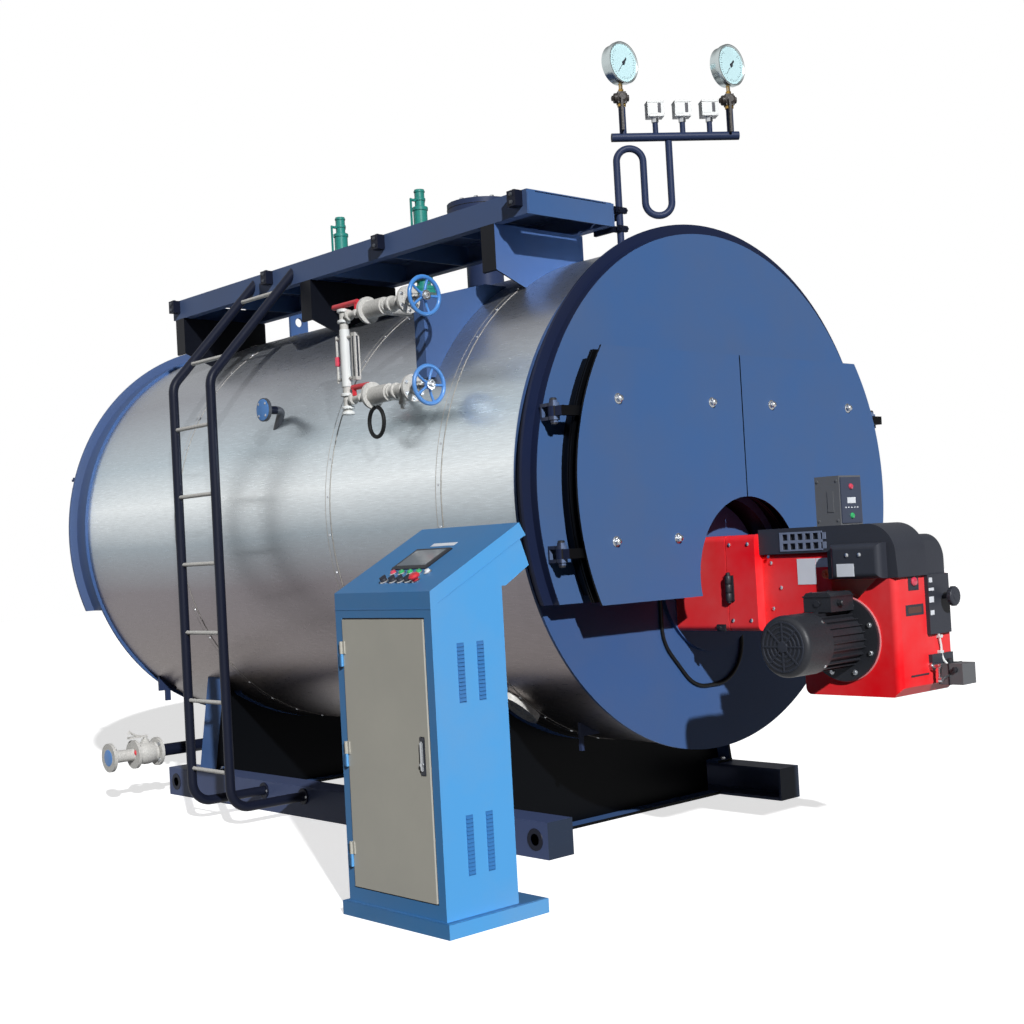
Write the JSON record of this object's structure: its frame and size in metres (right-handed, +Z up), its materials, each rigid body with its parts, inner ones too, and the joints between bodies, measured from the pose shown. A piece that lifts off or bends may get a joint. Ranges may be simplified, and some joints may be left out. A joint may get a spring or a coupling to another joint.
{
  "type": "horizontal fire-tube steam boiler with burner and control cabinet",
  "caption": "Horizontal clad steam boiler on skids with a red forced-draught burner, two-leaf smoke box doors, walkway, ladder, gauges, valves and a control cabinet.",
  "frame": {"origin": "on the ground, at the middle of the front saddle's underside, below the drum's axis", "axes": "+X to the right when one faces the burner, +Y from the burner to the rear, +Z up"},
  "size_m": [2.7289, 4.5669, 3.134],
  "materials": {
    "clad_steel": "bright rolled cladding sheet",
    "boiler_blue": "semi-gloss enamel",
    "navy_paint": "semi-gloss enamel",
    "burner_red": "powder coat",
    "black_plastic": "grained moulding",
    "black_metal": "satin paint",
    "cabinet_blue": "powder coat",
    "cabinet_grey": "powder coat",
    "valve_steel": "aluminium paint over casting",
    "wheel_blue": "enamel",
    "lever_red": "vinyl dip",
    "valve_teal": "enamel over casting",
    "gauge_case": "polished case",
    "switch_grey": "moulded housing",
    "control_grey": "satin paint",
    "nozzle_blue": "enamel"
  },
  "bodies": {
    "boiler": {"blowdown_pipe": "navy_paint", "blowdown_valve": "valve_steel", "burner_air_actuator": "control_grey", "burner_body": "burner_red", "burner_cable": "black_plastic", "burner_control_box": "control_grey", "burner_fan_scroll": "burner_red", "burner_flange_housing": "burner_red", "burner_knob": "black_plastic", "burner_motor": "black_metal", "burner_motor_cowl": "black_metal", "burner_mount_plate": "boiler_blue", "burner_switch_box": "black_plastic", "burner_tail_cover": "black_plastic", "burner_terminal_box": "black_metal", "burner_top_cover": "black_plastic", "cabinet_body": "cabinet_blue", "cabinet_console": "cabinet_blue", "cabinet_hinges": "cabinet_blue", "cabinet_plinth": "cabinet_blue", "cabinet_screen": "black_metal", "clad_shell": "clad_steel", "door_hinges": "navy_paint", "front_end_plate": "boiler_blue", "front_smoke_box": "boiler_blue", "gauge_cocks": "valve_steel", "gauge_header": "navy_paint", "hand_hole_ring": "valve_steel", "ladder_rails": "navy_paint", "ladder_rungs": "valve_steel", "level_chest": "boiler_blue", "level_column": "valve_steel", "level_valves": "valve_steel", "lifting_lugs": "boiler_blue", "pressure_gauges": "gauge_case", "pressure_switches": "switch_grey", "rear_box_clamps": "navy_paint", "rear_end_plate": "boiler_blue", "rear_smoke_box": "boiler_blue", "saddle_front": "navy_paint", "saddle_rear": "navy_paint", "safety_valves": "valve_teal", "side_brackets": "navy_paint", "side_nozzle": "nozzle_blue", "siphon_pipe": "navy_paint", "skid_beams": "navy_paint", "steam_outlet": "navy_paint", "walkway_clips": "black_plastic", "walkway_deck": "navy_paint", "walkway_frame": "navy_paint", "walkway_posts": "boiler_blue"},
    "door_left": {"smoke_box_door_left": "boiler_blue"},
    "door_right": {"smoke_box_door_right": "boiler_blue"},
    "wheel_lower": {"hand_wheel_lower": "wheel_blue"},
    "wheel_upper": {"hand_wheel_upper": "wheel_blue"},
    "lever_lower": {"level_lever_lower": "lever_red"},
    "lever_upper": {"level_lever_upper": "lever_red"},
    "cabinet_door": {"cabinet_door": "cabinet_grey"}
  },
  "joints": [
    {"name": "door_left_hinge", "type": "hinge", "parent": "boiler", "child": "door_left", "pos_m": [-0.948, -0.767, 1.365], "axis": [0, 0, -1], "range_deg": [0, 105]},
    {"name": "door_right_hinge", "type": "hinge", "parent": "boiler", "child": "door_right", "pos_m": [0.948, -0.767, 1.365], "axis": [0, 0, 1], "range_deg": [0, 105]},
    {"name": "wheel_lower_turn", "type": "hinge", "parent": "boiler", "child": "wheel_lower", "pos_m": [-1.03, -0.203, 1.767], "axis": [0, -1, 0], "range_deg": [0, 1080]},
    {"name": "wheel_upper_turn", "type": "hinge", "parent": "boiler", "child": "wheel_upper", "pos_m": [-1.03, -0.203, 2.097], "axis": [0, -1, 0], "range_deg": [0, 1080]},
    {"name": "lever_lower_turn", "type": "hinge", "parent": "boiler", "child": "lever_lower", "pos_m": [-1.03, 0.259, 1.79], "axis": [0, 0, -1], "range_deg": [0, 90]},
    {"name": "lever_upper_turn", "type": "hinge", "parent": "boiler", "child": "lever_upper", "pos_m": [-1.03, 0.217, 2.12], "axis": [0, 0, 1], "range_deg": [0, 90]},
    {"name": "cabinet_door_hinge", "type": "hinge", "parent": "boiler", "child": "cabinet_door", "pos_m": [-1.683, -0.484, 0.52], "axis": [0, 0, -1], "range_deg": [0, 110]}
  ]
}
